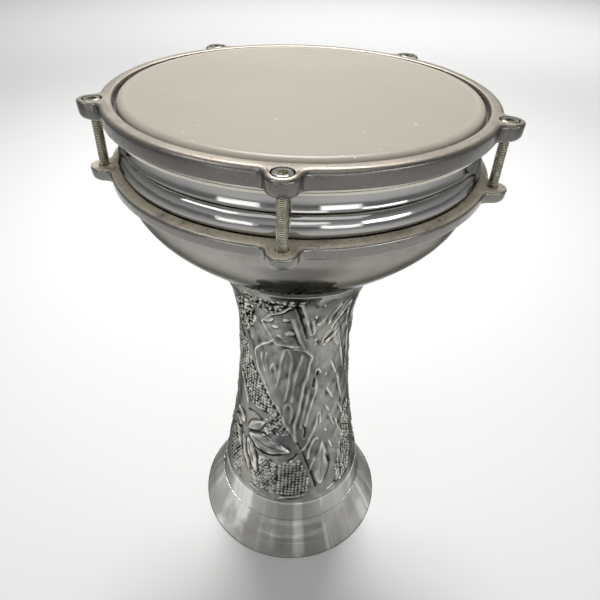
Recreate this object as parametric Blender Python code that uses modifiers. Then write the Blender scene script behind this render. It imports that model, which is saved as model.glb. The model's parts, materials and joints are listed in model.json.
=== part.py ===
# Goblet drum (darbuka): a spun aluminium shell in three lapped sections, a cast lug ring that the
# shell's bead stops from below, a film head on its own hoop, and a cast tension hoop that five
# socket-head screws draw down towards the lug ring.
# Metres, +Z up. The origin is on the drum's axis, on the surface that the foot stands on.

import math

import bmesh
import bpy

# Heights of the shell's stretches, stacked from the floor
FOOT_HEIGHT = 0.0365     # floor to the foot's top edge
STEM_HEIGHT = 0.1855     # foot's top edge to the waist
NECK_HEIGHT = 0.083      # waist to the bowl's seam
BOWL_HEIGHT = 0.061      # seam to the upright band
BAND_HEIGHT = 0.0149     # upright band that the lug ring surrounds
BEAD_HEIGHT = 0.0132     # rolled bead that stops the lug ring
COLLAR_HEIGHT = 0.0267   # upright collar from the bead to the bearing edge

# Outer radii of the shell
FOOT_RADIUS = 0.091
STEM_END_RADIUS = 0.0714
WAIST_RADIUS = 0.0472
NECK_RADIUS = 0.067
COLLAR_RADIUS = 0.1142
BAND_STEP = 0.0026       # the band stands out from the collar by this much

# How fast the radius grows, outward per unit of height, where the shell's curves meet
FOOT_RIM_SLOPE = 0.56
FOOT_TOP_SLOPE = 0.46
STEM_END_SLOPE = 0.215
NECK_SLOPE = 0.66
BOWL_SLOPE = 1.13

# Sheet of the shell, measured level, and the laps between its sections
SHELL_WALL = 0.002
BOWL_WALL = 0.003
SEAM_LAP = 0.010
SEAM_CLEARANCE = 0.0004

# Bearing edge and bead
EDGE_ROUND = 0.004       # outer rounding of the edge that carries the film
EDGE_LIP = 0.0012        # flat turned-in lip inside the rounding
BEAD_OVERHANG = 0.002    # the bead covers the lug ring's bore by this much
BEAD_UNDER_ROUND = 0.0036

# Head
FILM_THICKNESS = 0.0004
FLESH_HOOP_WIDTH = 0.0042
FLESH_HOOP_HEIGHT = 0.0117
LEDGE_HEIGHT = 0.002     # undercut in the flesh hoop that holds the film's flange
LEDGE_DEPTH = 0.0016

# Tension hoop and lug ring
HOOP_WALL = 0.0053       # skirt of the hoop, outside the flesh hoop
HOOP_HEIGHT = 0.0108
LIP_THICKNESS = 0.0045   # lip that presses on the flesh hoop
LIP_CLEARANCE = 0.0017   # between the lip and the film's side
RING_WIDTH = 0.0076
RING_THICKNESS = 0.0084
RING_CLEARANCE = 0.0008  # between the lug ring's bore and the band

# Lugs, shared by the hoop and the ring
LUG_COUNT = 5
LUG_FRONT_ANGLE = 266.57  # degrees from +X, the lug that faces forward
LUG_OFFSET = 0.003       # from the hoop's outer radius out to the screws' circle
LUG_RADIUS = 0.009
LUG_FILLET = 0.006
CAST_ROUND = 0.0012      # rounding of the castings' outer edges

# Socket-head screws
SCREW_RADIUS = 0.003
SCREW_HEAD_RADIUS = 0.005
SCREW_HEAD_HEIGHT = 0.006
SCREW_HEAD_CHAMFER = 0.0004
SCREW_TIP_CHAMFER = 0.0007
SCREW_TAIL = 0.0017      # length that comes out below the lug ring
SOCKET_WIDTH = 0.005     # across the flats of the hexagon
SOCKET_DEPTH = 0.003
HOLE_CLEARANCE = 0.0004
COUNTERBORE_CLEARANCE = 0.0008

# Gap kept between neighbours that touch, and how far a cutter passes the face that it cuts
CLEARANCE = 0.0003
CUT_MARGIN = 0.002

# Fineness of the round stretches
TURN_STEPS = 50
SCREW_STEPS = 24
CURVE_STEPS = 6
ARC_STEPS = 4

# Levels that follow from the stack
waist_z = FOOT_HEIGHT + STEM_HEIGHT
seam_z = waist_z + NECK_HEIGHT
band_z = seam_z + BOWL_HEIGHT
bead_z = band_z + BAND_HEIGHT
collar_z = bead_z + BEAD_HEIGHT
edge_z = collar_z + COLLAR_HEIGHT
top_z = edge_z + CLEARANCE + FILM_THICKNESS
flesh_top_z = top_z - LIP_THICKNESS - CLEARANCE
flesh_base_z = flesh_top_z - FLESH_HOOP_HEIGHT
ledge_z = flesh_base_z + LEDGE_HEIGHT
hoop_base_z = top_z - HOOP_HEIGHT
ring_top_z = bead_z - CLEARANCE
ring_base_z = ring_top_z - RING_THICKNESS
counterbore_z = top_z - SCREW_HEAD_HEIGHT - CLEARANCE

# Radii that follow from the collar, outwards
foot_top_radius = STEM_END_RADIUS + SEAM_CLEARANCE + SHELL_WALL
band_radius = COLLAR_RADIUS + BAND_STEP
film_inner_radius = COLLAR_RADIUS + CLEARANCE
film_radius = film_inner_radius + FILM_THICKNESS
flesh_inner_radius = film_radius + CLEARANCE
flesh_radius = flesh_inner_radius + FLESH_HOOP_WIDTH
skirt_inner_radius = flesh_radius + CLEARANCE
hoop_radius = skirt_inner_radius + HOOP_WALL
lip_radius = film_radius + LIP_CLEARANCE
ring_inner_radius = band_radius + RING_CLEARANCE
ring_radius = ring_inner_radius + RING_WIDTH
bead_radius = ring_inner_radius + BEAD_OVERHANG
screw_circle = hoop_radius + LUG_OFFSET


def clear_scene():
    for obj in list(bpy.data.objects):
        bpy.data.objects.remove(obj, do_unlink=True)


def new_collection(name):
    collection = bpy.data.collections.new(name)
    bpy.context.scene.collection.children.link(collection)
    return collection


def finish(name, color, roughness, metallic):
    material = bpy.data.materials.new(name)
    material.use_nodes = True
    shader = material.node_tree.nodes["Principled BSDF"]
    shader.inputs["Base Color"].default_value = (*color, 1.0)
    shader.inputs["Roughness"].default_value = roughness
    shader.inputs["Metallic"].default_value = metallic
    return material


def levels(low, high, steps):
    return [low + (high - low) * i / steps for i in range(steps + 1)]


def flare(low, high, low_slope, high_slope, z):
    """Radius at height z on the cubic between two (radius, height) points with given slopes."""
    span = high[1] - low[1]
    t = (z - low[1]) / span
    rise = 3 * t * t - 2 * t ** 3
    return (
        low[0] * (1 - rise)
        + high[0] * rise
        + span * low_slope * (t - 2 * t * t + t ** 3)
        + span * high_slope * (t ** 3 - t * t)
    )


def arc(center, radii, start, end, steps):
    """Points (radius, height) on an ellipse's arc, with the angles in degrees."""
    return [
        (center[0] + radii[0] * math.cos(math.radians(a)), center[1] + radii[1] * math.sin(math.radians(a)))
        for a in levels(start, end, steps)
    ]


def inward(points, distance):
    return [(r - distance, z) for r, z in points]


def mesh_object(name, mesh, collection, material=None):
    obj = bpy.data.objects.new(name, mesh)
    collection.objects.link(obj)
    if material:
        mesh.materials.append(material)
    return obj


def turned(name, profile, collection, material=None, closed=True, steps=TURN_STEPS):
    """Solid of revolution about Z of an outline of (radius, height) points, outer side first."""
    mesh = bpy.data.meshes.new(name)
    edges = [(i, i + 1) for i in range(len(profile) - 1)]
    if closed:
        edges.append((len(profile) - 1, 0))
    mesh.from_pydata([(r, 0.0, z) for r, z in profile], edges, [])
    obj = mesh_object(name, mesh, collection, material)
    screw = obj.modifiers.new("turn", "SCREW")
    screw.axis = "Z"
    screw.angle = math.tau
    screw.screw_offset = 0.0
    screw.steps = steps
    screw.render_steps = steps
    screw.use_merge_vertices = True
    screw.merge_threshold = 0.00002
    screw.use_smooth_shade = True
    return obj


def as_cutter(obj):
    obj.hide_render = True
    obj.display_type = "WIRE"
    return obj


def cut(obj, cutter):
    boolean = obj.modifiers.new("cut_" + cutter.name, "BOOLEAN")
    boolean.operation = "DIFFERENCE"
    boolean.object = cutter


def foot_curve(z):
    low = (FOOT_RADIUS, 0.0)
    high = (foot_top_radius, FOOT_HEIGHT)
    return flare(low, high, -FOOT_RIM_SLOPE, -FOOT_TOP_SLOPE, z)


def stem_curve(z):
    waist = (WAIST_RADIUS, waist_z)
    if z < waist_z:
        return flare((STEM_END_RADIUS, FOOT_HEIGHT), waist, -STEM_END_SLOPE, 0.0, z)
    return flare(waist, (NECK_RADIUS, seam_z), 0.0, NECK_SLOPE, z)


def bowl_curve(z):
    return flare((NECK_RADIUS, seam_z), (band_radius, band_z), BOWL_SLOPE, 0.0, z)


def foot_flare(parts, material):
    outside = [(foot_curve(z), z) for z in levels(FOOT_HEIGHT, 0.0, ARC_STEPS)]
    inside = inward(reversed(outside), SHELL_WALL)
    return turned("foot_flare", outside + inside, parts, material)


def stem_shell(parts, material):
    neck = [(stem_curve(z), z) for z in levels(seam_z, waist_z, CURVE_STEPS)]
    stem = [(stem_curve(z), z) for z in levels(waist_z, FOOT_HEIGHT, CURVE_STEPS)]
    tail_depth = SHELL_WALL + SEAM_CLEARANCE
    tail = [(foot_curve(z) - tail_depth, z) for z in levels(FOOT_HEIGHT, FOOT_HEIGHT - SEAM_LAP, 2)]
    outside = neck + stem[1:] + tail[1:]
    inside = inward(reversed(outside), SHELL_WALL)
    return turned("stem_shell", outside + inside, parts, material)


def bowl_shell(parts, material):
    edge_center = (COLLAR_RADIUS - EDGE_ROUND, edge_z - EDGE_ROUND)
    lip = [(edge_center[0] - EDGE_LIP, edge_z)]
    edge = arc(edge_center, (EDGE_ROUND, EDGE_ROUND), 90, 0, ARC_STEPS)
    widest_z = bead_z + BEAD_UNDER_ROUND
    bead_size = (bead_radius - COLLAR_RADIUS, collar_z - widest_z)
    bead_top = arc((COLLAR_RADIUS, widest_z), bead_size, 90, 0, ARC_STEPS)
    under_center = (bead_radius - BEAD_UNDER_ROUND, widest_z)
    under_end = math.degrees(math.acos((band_radius - under_center[0]) / BEAD_UNDER_ROUND))
    bead_under = arc(under_center, (BEAD_UNDER_ROUND, BEAD_UNDER_ROUND), 0, -under_end, ARC_STEPS)
    seam_top = seam_z + CLEARANCE
    bowl = [(bowl_curve(z), z) for z in levels(band_z, seam_top, CURVE_STEPS)]
    spigot_depth = SHELL_WALL + SEAM_CLEARANCE
    spigot = [(stem_curve(z) - spigot_depth, z) for z in levels(seam_z, seam_z - SEAM_LAP, 2)]
    step = [(spigot[0][0], seam_top)]
    outside = lip + edge + bead_top + bead_under[1:] + bowl + step + spigot[1:]

    spigot_inside = inward(reversed(spigot), SHELL_WALL)
    bowl_inside = inward(reversed(bowl[:-1]), BOWL_WALL)
    collar_inside = COLLAR_RADIUS - SHELL_WALL
    under_edge = arc(edge_center, (EDGE_ROUND - SHELL_WALL, EDGE_ROUND - SHELL_WALL), 0, 90, ARC_STEPS)
    lip_inside = [(lip[0][0], edge_z - SHELL_WALL)]
    inside = spigot_inside + bowl_inside + [(collar_inside, bead_z)] + under_edge + lip_inside
    return turned("bowl_shell", outside + inside, parts, material)


def drum_head(parts, material):
    film_round = EDGE_ROUND + CLEARANCE + FILM_THICKNESS
    center = (film_radius - film_round, top_z - film_round)
    inner_round = EDGE_ROUND + CLEARANCE
    flange_top = ledge_z - CLEARANCE
    flange_base = flange_top - FILM_THICKNESS
    flange_radius = flesh_inner_radius + LEDGE_DEPTH - CLEARANCE
    outside = [(0.0, top_z)] + arc(center, (film_round, film_round), 90, 0, ARC_STEPS)
    flange = [(film_radius, flange_top), (flange_radius, flange_top), (flange_radius, flange_base)]
    inside = [(film_inner_radius, flange_base)]
    inside += arc(center, (inner_round, inner_round), 0, 90, ARC_STEPS)
    inside += [(0.0, top_z - FILM_THICKNESS)]
    return turned("drum_head", outside + flange + inside, parts, material, closed=False)


def flesh_hoop(parts, material):
    ledge_radius = flesh_inner_radius + LEDGE_DEPTH
    profile = [
        (flesh_radius, flesh_top_z),
        (flesh_radius, flesh_base_z),
        (ledge_radius, flesh_base_z),
        (ledge_radius, ledge_z),
        (flesh_inner_radius, ledge_z),
        (flesh_inner_radius, flesh_top_z),
    ]
    return turned("flesh_hoop", profile, parts, material)


def lug_angles():
    return [math.radians(LUG_FRONT_ANGLE + 360.0 * i / LUG_COUNT) for i in range(LUG_COUNT)]


def lugged_outline(radius):
    """Outline of a ring with round lugs, each blended into the ring by a hollow fillet."""
    reach = radius + LUG_FILLET
    span = LUG_RADIUS + LUG_FILLET
    spread = math.acos((reach ** 2 + screw_circle ** 2 - span ** 2) / (2 * reach * screw_circle))
    fillet = (reach * math.cos(spread), reach * math.sin(spread))
    to_lug = math.atan2(-fillet[1], screw_circle - fillet[0])
    from_lug = to_lug + math.pi
    half = []
    for a in levels(from_lug, 0.0, ARC_STEPS):
        half.append((screw_circle + LUG_RADIUS * math.cos(a), LUG_RADIUS * math.sin(a)))
    half.reverse()
    for a in levels(to_lug, spread - math.pi, ARC_STEPS)[1:]:
        half.append((fillet[0] + LUG_FILLET * math.cos(a), fillet[1] + LUG_FILLET * math.sin(a)))
    gap = math.tau / LUG_COUNT - 2 * spread
    between = [spread + gap * i / CURVE_STEPS for i in range(1, CURVE_STEPS)]
    lug = [(x, -y) for x, y in reversed(half[1:])] + half
    lug += [(radius * math.cos(a), radius * math.sin(a)) for a in between]
    outline = []
    for turn in lug_angles():
        c, s = math.cos(turn), math.sin(turn)
        outline += [(x * c - y * s, x * s + y * c) for x, y in lug]
    return outline


def lugged_plate(name, radius, top, thickness, parts, material):
    """Flat casting with lugs, its outer edges rounded, before its bore and holes are cut."""
    curve = bpy.data.curves.new(name, "CURVE")
    curve.dimensions = "2D"
    curve.fill_mode = "BOTH"
    curve.extrude = thickness / 2
    outline = lugged_outline(radius)
    spline = curve.splines.new("POLY")
    spline.points.add(len(outline) - 1)
    for point, (x, y) in zip(spline.points, outline):
        point.co = (x, y, 0.0, 1.0)
    spline.use_cyclic_u = True
    blank = bpy.data.objects.new(name + "_outline", curve)
    parts.objects.link(blank)
    blank.location.z = top - thickness / 2
    bpy.context.view_layer.update()
    mesh = bpy.data.meshes.new_from_object(blank.evaluated_get(bpy.context.evaluated_depsgraph_get()))
    place = blank.matrix_world.copy()
    bpy.data.objects.remove(blank, do_unlink=True)
    shape = bmesh.new()
    shape.from_mesh(mesh)
    bmesh.ops.remove_doubles(shape, verts=shape.verts, dist=0.00001)
    bmesh.ops.dissolve_limit(
        shape, angle_limit=math.radians(1), verts=shape.verts, edges=shape.edges
    )
    bmesh.ops.recalc_face_normals(shape, faces=shape.faces)
    shape.to_mesh(mesh)
    shape.free()
    mesh.shade_smooth()
    mesh.set_sharp_from_angle(angle=math.radians(40))
    mesh.name = name
    obj = mesh_object(name, mesh, parts, material)
    obj.matrix_world = place
    bevel = obj.modifiers.new("cast_edges", "BEVEL")
    bevel.width = CAST_ROUND
    bevel.segments = 2
    bevel.limit_method = "ANGLE"
    bevel.angle_limit = math.radians(60)
    return obj


def lug_place(angle, height):
    return (screw_circle * math.cos(angle), screw_circle * math.sin(angle), height)


def tension_hoop(parts, cutters, material):
    hoop = lugged_plate("tension_hoop", hoop_radius, top_z, HOOP_HEIGHT, parts, material)
    bore_profile = [
        (0.0, top_z + CUT_MARGIN),
        (lip_radius, top_z + CUT_MARGIN),
        (lip_radius, top_z - LIP_THICKNESS),
        (skirt_inner_radius, top_z - LIP_THICKNESS),
        (skirt_inner_radius, hoop_base_z - CUT_MARGIN),
        (0.0, hoop_base_z - CUT_MARGIN),
    ]
    cut(hoop, as_cutter(turned("hoop_bore", bore_profile, cutters, closed=False)))
    head_hole = SCREW_HEAD_RADIUS + COUNTERBORE_CLEARANCE
    shank_hole = SCREW_RADIUS + HOLE_CLEARANCE
    hole_profile = [
        (0.0, CUT_MARGIN),
        (head_hole, CUT_MARGIN),
        (head_hole, counterbore_z - top_z),
        (shank_hole, counterbore_z - top_z),
        (shank_hole, -HOOP_HEIGHT - CUT_MARGIN),
        (0.0, -HOOP_HEIGHT - CUT_MARGIN),
    ]
    for i, angle in enumerate(lug_angles(), 1):
        name = f"counterbore_{i}"
        hole = as_cutter(turned(name, hole_profile, cutters, closed=False, steps=SCREW_STEPS))
        hole.location = lug_place(angle, top_z)
        cut(hoop, hole)
    return hoop


def lower_lug_ring(parts, cutters, material):
    ring = lugged_plate("lower_lug_ring", ring_radius, ring_top_z, RING_THICKNESS, parts, material)
    bore_profile = [
        (0.0, ring_top_z + CUT_MARGIN),
        (ring_inner_radius, ring_top_z + CUT_MARGIN),
        (ring_inner_radius, ring_base_z - CUT_MARGIN),
        (0.0, ring_base_z - CUT_MARGIN),
    ]
    cut(ring, as_cutter(turned("ring_bore", bore_profile, cutters, closed=False)))
    thread_hole = SCREW_RADIUS + HOLE_CLEARANCE
    hole_profile = [
        (0.0, CUT_MARGIN),
        (thread_hole, CUT_MARGIN),
        (thread_hole, -RING_THICKNESS - CUT_MARGIN),
        (0.0, -RING_THICKNESS - CUT_MARGIN),
    ]
    for i, angle in enumerate(lug_angles(), 1):
        name = f"thread_hole_{i}"
        hole = as_cutter(turned(name, hole_profile, cutters, closed=False, steps=SCREW_STEPS))
        hole.location = lug_place(angle, ring_top_z)
        cut(ring, hole)
    return ring


def tension_screws(parts, cutters, material):
    tip = ring_base_z - SCREW_TAIL - top_z
    profile = [
        (0.0, 0.0),
        (SCREW_HEAD_RADIUS - SCREW_HEAD_CHAMFER, 0.0),
        (SCREW_HEAD_RADIUS, -SCREW_HEAD_CHAMFER),
        (SCREW_HEAD_RADIUS, -SCREW_HEAD_HEIGHT),
        (SCREW_RADIUS, -SCREW_HEAD_HEIGHT),
        (SCREW_RADIUS, tip + SCREW_TIP_CHAMFER),
        (SCREW_RADIUS - SCREW_TIP_CHAMFER, tip),
        (0.0, tip),
    ]
    socket_radius = SOCKET_WIDTH / 2 / math.cos(math.pi / 6)
    socket_profile = [
        (0.0, CUT_MARGIN),
        (socket_radius, CUT_MARGIN),
        (socket_radius, -SOCKET_DEPTH),
        (0.0, -SOCKET_DEPTH),
    ]
    screws = []
    for i, angle in enumerate(lug_angles(), 1):
        name = f"tension_screw_{i}"
        screw = turned(name, profile, parts, material, closed=False, steps=SCREW_STEPS)
        screw.location = lug_place(angle, top_z)
        socket = turned(f"hex_socket_{i}", socket_profile, cutters, closed=False, steps=6)
        as_cutter(socket).location = screw.location
        cut(screw, socket)
        screws.append(screw)
    return screws


def main():
    clear_scene()
    parts = new_collection("darbuka")
    cutters = new_collection("cutters")
    spun = finish("spun_aluminium", (0.62, 0.62, 0.61), 0.12, 1.0)
    chased = finish("chased_aluminium", (0.55, 0.55, 0.54), 0.22, 1.0)
    cast = finish("cast_aluminium", (0.60, 0.57, 0.53), 0.38, 1.0)
    flesh = finish("drawn_aluminium", (0.64, 0.63, 0.62), 0.25, 1.0)
    film = finish("frosted_film", (0.55, 0.54, 0.51), 0.35, 0.0)
    zinc = finish("zinc_plated_steel", (0.50, 0.48, 0.40), 0.35, 1.0)

    foot_flare(parts, spun)
    stem_shell(parts, chased)
    bowl_shell(parts, spun)
    lower_lug_ring(parts, cutters, cast)

    # The hoop, the head and the screws rise together when the screws are let out.
    slide = bpy.data.objects.new("hoop_slide", None)
    parts.objects.link(slide)
    riders = [tension_hoop(parts, cutters, cast), flesh_hoop(parts, flesh), drum_head(parts, film)]
    riders += tension_screws(parts, cutters, zinc)
    for rider in riders:
        rider.parent = slide


main()
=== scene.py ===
import json
import math

import bmesh
import bpy
import numpy as np
from mathutils import Matrix, Vector


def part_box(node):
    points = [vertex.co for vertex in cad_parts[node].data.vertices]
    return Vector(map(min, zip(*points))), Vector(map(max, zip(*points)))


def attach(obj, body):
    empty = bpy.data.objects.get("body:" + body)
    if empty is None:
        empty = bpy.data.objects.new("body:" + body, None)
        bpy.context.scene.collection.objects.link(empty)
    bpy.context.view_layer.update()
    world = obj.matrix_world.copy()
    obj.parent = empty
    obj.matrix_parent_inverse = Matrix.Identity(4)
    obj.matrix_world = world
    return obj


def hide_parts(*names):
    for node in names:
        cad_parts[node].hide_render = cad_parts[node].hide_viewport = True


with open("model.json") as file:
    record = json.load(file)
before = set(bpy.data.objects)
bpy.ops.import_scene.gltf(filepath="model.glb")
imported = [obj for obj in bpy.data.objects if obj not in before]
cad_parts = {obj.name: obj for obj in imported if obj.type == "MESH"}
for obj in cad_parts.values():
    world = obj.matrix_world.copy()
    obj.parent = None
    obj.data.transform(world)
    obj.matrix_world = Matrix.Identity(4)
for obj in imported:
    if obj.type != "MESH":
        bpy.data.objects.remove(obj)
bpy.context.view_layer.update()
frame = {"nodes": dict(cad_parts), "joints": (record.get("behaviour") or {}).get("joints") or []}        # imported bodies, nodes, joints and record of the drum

mm = 0.001
spunWeld, cutWeld = 0.002 * mm, 0.004 * mm      # merge distances after a spin and after a cut
screwJoints = [j for j in frame["joints"] if j["name"].startswith("screw_")]
screwJoints.sort(key=lambda joint: joint["name"])
screwPlaces = [Vector(j["pos_m"]) for j in screwJoints]
screwCircle = screwPlaces[0].xy.length
lugAngles = [math.atan2(p.y, p.x) for p in screwPlaces]
nodeNames = ("foot_flare", "stem_shell", "bowl_shell", "lower_lug_ring", "tension_hoop", "flesh_hoop",
             "drum_head", "tension_screw_1")
boxes = {name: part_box(name) for name in nodeNames}
footTop, seam = boxes["foot_flare"][1].z, boxes["stem_shell"][1].z
print("frame loaded:", len(frame["nodes"]), "nodes,", len(screwPlaces), "lugs")


# small modelling helpers

def clearSelection():
    if bpy.context.object and bpy.context.object.mode != "OBJECT":
        bpy.ops.object.mode_set(mode="OBJECT")
    bpy.ops.object.select_all(action="DESELECT")


def pick(piece):
    clearSelection()
    piece.select_set(True)
    bpy.context.view_layer.objects.active = piece


def newPiece(name, operator, **values):
    clearSelection()
    operator(**values)
    piece = bpy.context.object
    piece.name = piece.data.name = name
    return piece


def editAll(piece):
    pick(piece)
    bpy.ops.object.mode_set(mode="EDIT")
    bpy.ops.mesh.select_all(action="SELECT")


def applyModifier(piece, modifier):
    pick(piece)
    bpy.ops.object.modifier_apply(modifier=modifier.name)


def smoothPiece(piece, degrees):
    pick(piece)
    bpy.ops.object.shade_smooth_by_angle(angle=math.radians(degrees))


def steps(low, high, count):
    return [low + (high - low) * i / count for i in range(count + 1)]


def arcPoints(center, radius, start, end, count):
    turn = [math.radians(a) for a in steps(start, end, count)]
    return [(center[0] + radius * math.cos(a), center[1] + radius * math.sin(a)) for a in turn]


def hermite(low, high, lowSlope, highSlope, z):
    span = high[1] - low[1]
    t = (z - low[1]) / span
    rise = 3 * t * t - 2 * t ** 3
    start = span * lowSlope * (t - 2 * t * t + t ** 3)
    end = span * highSlope * (t ** 3 - t * t)
    return low[0] * (1 - rise) + high[0] * rise + start + end


def faceOutward(piece, weld):
    # merges doubles and turns a closed piece right side out
    editAll(piece)
    bpy.ops.mesh.remove_doubles(threshold=weld)
    bpy.ops.mesh.dissolve_degenerate(threshold=weld)
    bpy.ops.mesh.select_all(action="SELECT")
    bpy.ops.mesh.normals_make_consistent(inside=False)
    if bmesh.from_edit_mesh(piece.data).calc_volume(signed=True) < 0:
        bpy.ops.mesh.flip_normals()
    bpy.ops.object.mode_set(mode="OBJECT")


def drawOutline(name, outline, closed):
    # one point of a plane, pulled along the outline
    piece = newPiece(name, bpy.ops.mesh.primitive_plane_add, size=mm)
    editAll(piece)
    bpy.ops.mesh.merge(type="CENTER")
    bpy.ops.transform.translate(value=(outline[0][0], 0, outline[0][1]))
    for (r0, z0), (r1, z1) in zip(outline, outline[1:]):
        bpy.ops.mesh.extrude_region_move(TRANSFORM_OT_translate={"value": (r1 - r0, 0, z1 - z0)})
    if closed:
        mesh = bmesh.from_edit_mesh(piece.data)
        mesh.verts.ensure_lookup_table()
        mesh.verts[0].select = True
        mesh.select_flush_mode()
        bmesh.update_edit_mesh(piece.data)
        bpy.ops.mesh.edge_face_add()
    return piece


def turnPiece(name, outline, turnSteps, closed=True, smoothAngle=35):
    piece = drawOutline(name, outline, closed)
    bpy.ops.mesh.select_all(action="SELECT")
    bpy.ops.mesh.spin(steps=turnSteps, angle=math.tau, center=(0, 0, 0), axis=(0, 0, 1))
    faceOutward(piece, spunWeld)
    smoothPiece(piece, smoothAngle)
    return piece


def loftLoops(name, loops):
    # a circle pulled from loop to loop, its end bridged to its start
    piece = newPiece(name, bpy.ops.mesh.primitive_circle_add, vertices=len(loops[0]), radius=1)
    editAll(piece)
    mesh = bmesh.from_edit_mesh(piece.data)
    station = mesh.verts.layers.int.new("station")
    for i, vert in enumerate(mesh.verts):
        vert[station] = i
    for k, loop in enumerate(loops):
        if k:
            bpy.ops.mesh.extrude_region_move(TRANSFORM_OT_translate={"value": (0, 0, mm)})
        mesh = bmesh.from_edit_mesh(piece.data)
        station = mesh.verts.layers.int["station"]
        for vert in mesh.verts:
            if vert.select:
                vert.co = loop[vert[station]]
        bmesh.update_edit_mesh(piece.data)
    for vert in mesh.verts:
        vert.select = vert.is_boundary
    mesh.select_flush_mode()
    bmesh.update_edit_mesh(piece.data)
    bpy.ops.mesh.bridge_edge_loops()
    bpy.ops.object.mode_set(mode="OBJECT")
    piece.data.attributes.remove(piece.data.attributes["station"])
    faceOutward(piece, spunWeld)
    return piece


def joinPieces(pieces, name):
    clearSelection()
    for piece in pieces:
        piece.select_set(True)
    bpy.context.view_layer.objects.active = pieces[0]
    bpy.ops.object.join()
    pieces[0].name = pieces[0].data.name = name
    return pieces[0]


def placeMesh(piece, offset):
    piece.data.transform(Matrix.Translation(offset))
    return piece


def copyPiece(piece, name):
    twin = piece.copy()
    twin.data = piece.data.copy()
    twin.name = twin.data.name = name
    bpy.context.scene.collection.objects.link(twin)
    return twin


def boolean(piece, tool, operation):
    modifier = piece.modifiers.new(operation.lower(), "BOOLEAN")
    modifier.operation = operation
    modifier.object = tool
    applyModifier(piece, modifier)
    bpy.data.objects.remove(tool, do_unlink=True)


def dress(piece, body, node, material):
    piece.data.materials.clear()
    piece.data.materials.append(material)
    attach(piece, body)
    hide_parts(node)
    print("piece", piece.name, "on", body, "with", len(piece.data.polygons), "faces")


# shader helpers

def newTree(name, **values):
    material = bpy.data.materials.new(name)
    material.use_nodes = True
    shader = material.node_tree.nodes["Principled BSDF"]
    for key, value in values.items():
        shader.inputs[key.replace("_", " ")].default_value = value
    return material, material.node_tree, shader


def addNode(tree, kind, **values):
    node = tree.nodes.new("ShaderNode" + kind)
    for key, value in values.items():
        if hasattr(node, key):
            setattr(node, key, value)
        else:
            node.inputs[key].default_value = value
    return node


def isSocket(value):
    return isinstance(value, bpy.types.NodeSocket)


def wire(source, target):
    target.id_data.links.new(source, target)      # a socket's id_data is its tree


def feed(value, socket):
    # another node's output is wired, a colour or a number is written
    if isSocket(value):
        wire(value, socket)
    elif isinstance(value, tuple):
        socket.default_value = (*value, 1.0)
    else:
        socket.default_value = value


def objectPoint(tree):
    return addNode(tree, "TexCoord").outputs["Object"]


def splitAxes(vector):
    node = addNode(vector.id_data, "SeparateXYZ")
    wire(vector, node.inputs[0])
    return list(node.outputs)


def stretched(tree, scale, turn=(0.0, 0.0, 0.0)):
    node = addNode(tree, "Mapping", Rotation=turn, Scale=scale)
    wire(objectPoint(tree), node.inputs["Vector"])
    return node.outputs[0]


def noise(tree, scale, detail=4.0, roughness=0.5, vector=None, distortion=0.0):
    node = addNode(tree, "TexNoise", Detail=detail, Roughness=roughness, Distortion=distortion)
    feed(scale, node.inputs["Scale"])
    wire(vector or objectPoint(tree), node.inputs["Vector"])
    return node.outputs["Fac"]


def cellNoise(tree, scale):
    node = addNode(tree, "TexVoronoi", Scale=scale)
    wire(objectPoint(tree), node.inputs["Vector"])
    return node.outputs


def remap(source, low, high, outLow=0.0, outHigh=1.0):
    node = addNode(source.id_data, "MapRange", interpolation_type="SMOOTHSTEP")
    for key, value in (("From Min", low), ("From Max", high), ("To Min", outLow), ("To Max", outHigh)):
        node.inputs[key].default_value = value
    wire(source, node.inputs["Value"])
    return node.outputs["Result"]


def calc(operation, first, second):
    tree = first.id_data if isSocket(first) else second.id_data
    node = addNode(tree, "Math", operation=operation)
    feed(first, node.inputs[0])
    feed(second, node.inputs[1])
    return node.outputs[0]


def times(first, second):
    return calc("MULTIPLY", first, second)


def plus(first, second):
    return calc("ADD", first, second)


def blendColor(factor, first, second):
    node = addNode(factor.id_data, "Mix", data_type="RGBA")
    sockets = {socket.identifier: socket for socket in node.inputs}
    feed(factor, sockets["Factor_Float"])
    feed(first, sockets["A_Color"])
    feed(second, sockets["B_Color"])
    return next(socket for socket in node.outputs if socket.identifier == "Result_Color")


def newGroup(name, inputs, outputs):
    group = bpy.data.node_groups.new(name, "ShaderNodeTree")
    for label, value in inputs.items():
        socket = group.interface.new_socket(label, in_out="INPUT", socket_type="NodeSocketFloat")
        socket.default_value = value
    for label in outputs:
        group.interface.new_socket(label, in_out="OUTPUT", socket_type="NodeSocketFloat")
    return group, group.nodes.new("NodeGroupInput").outputs, group.nodes.new("NodeGroupOutput").inputs


def useGroup(tree, group, **values):
    node = addNode(tree, "Group")
    node.node_tree = group
    for key, value in values.items():
        node.inputs[key].default_value = value
    return node.outputs


def paint(shader, tint, rough, height, strength, distance):
    # what every finish ends with: colour, roughness and bump
    node = addNode(height.id_data, "Bump", Strength=strength, Distance=distance)
    wire(height, node.inputs["Height"])
    wire(node.outputs["Normal"], shader.inputs["Normal"])
    wire(tint, shader.inputs["Base Color"])
    wire(rough, shader.inputs["Roughness"])


# camera at the photograph's place

photoView = {
    "place": (0.0, -0.352618, 0.521991),
    "pitchDown": 37.5068,     # degrees
    "yawRight": 0.5592,
    "roll": 2.0725,
    "focalPixels": 533.678,
    "imagePixels": 600,
    "sensorWidth": 36.0,
    "nearest": 0.01,
}


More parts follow.
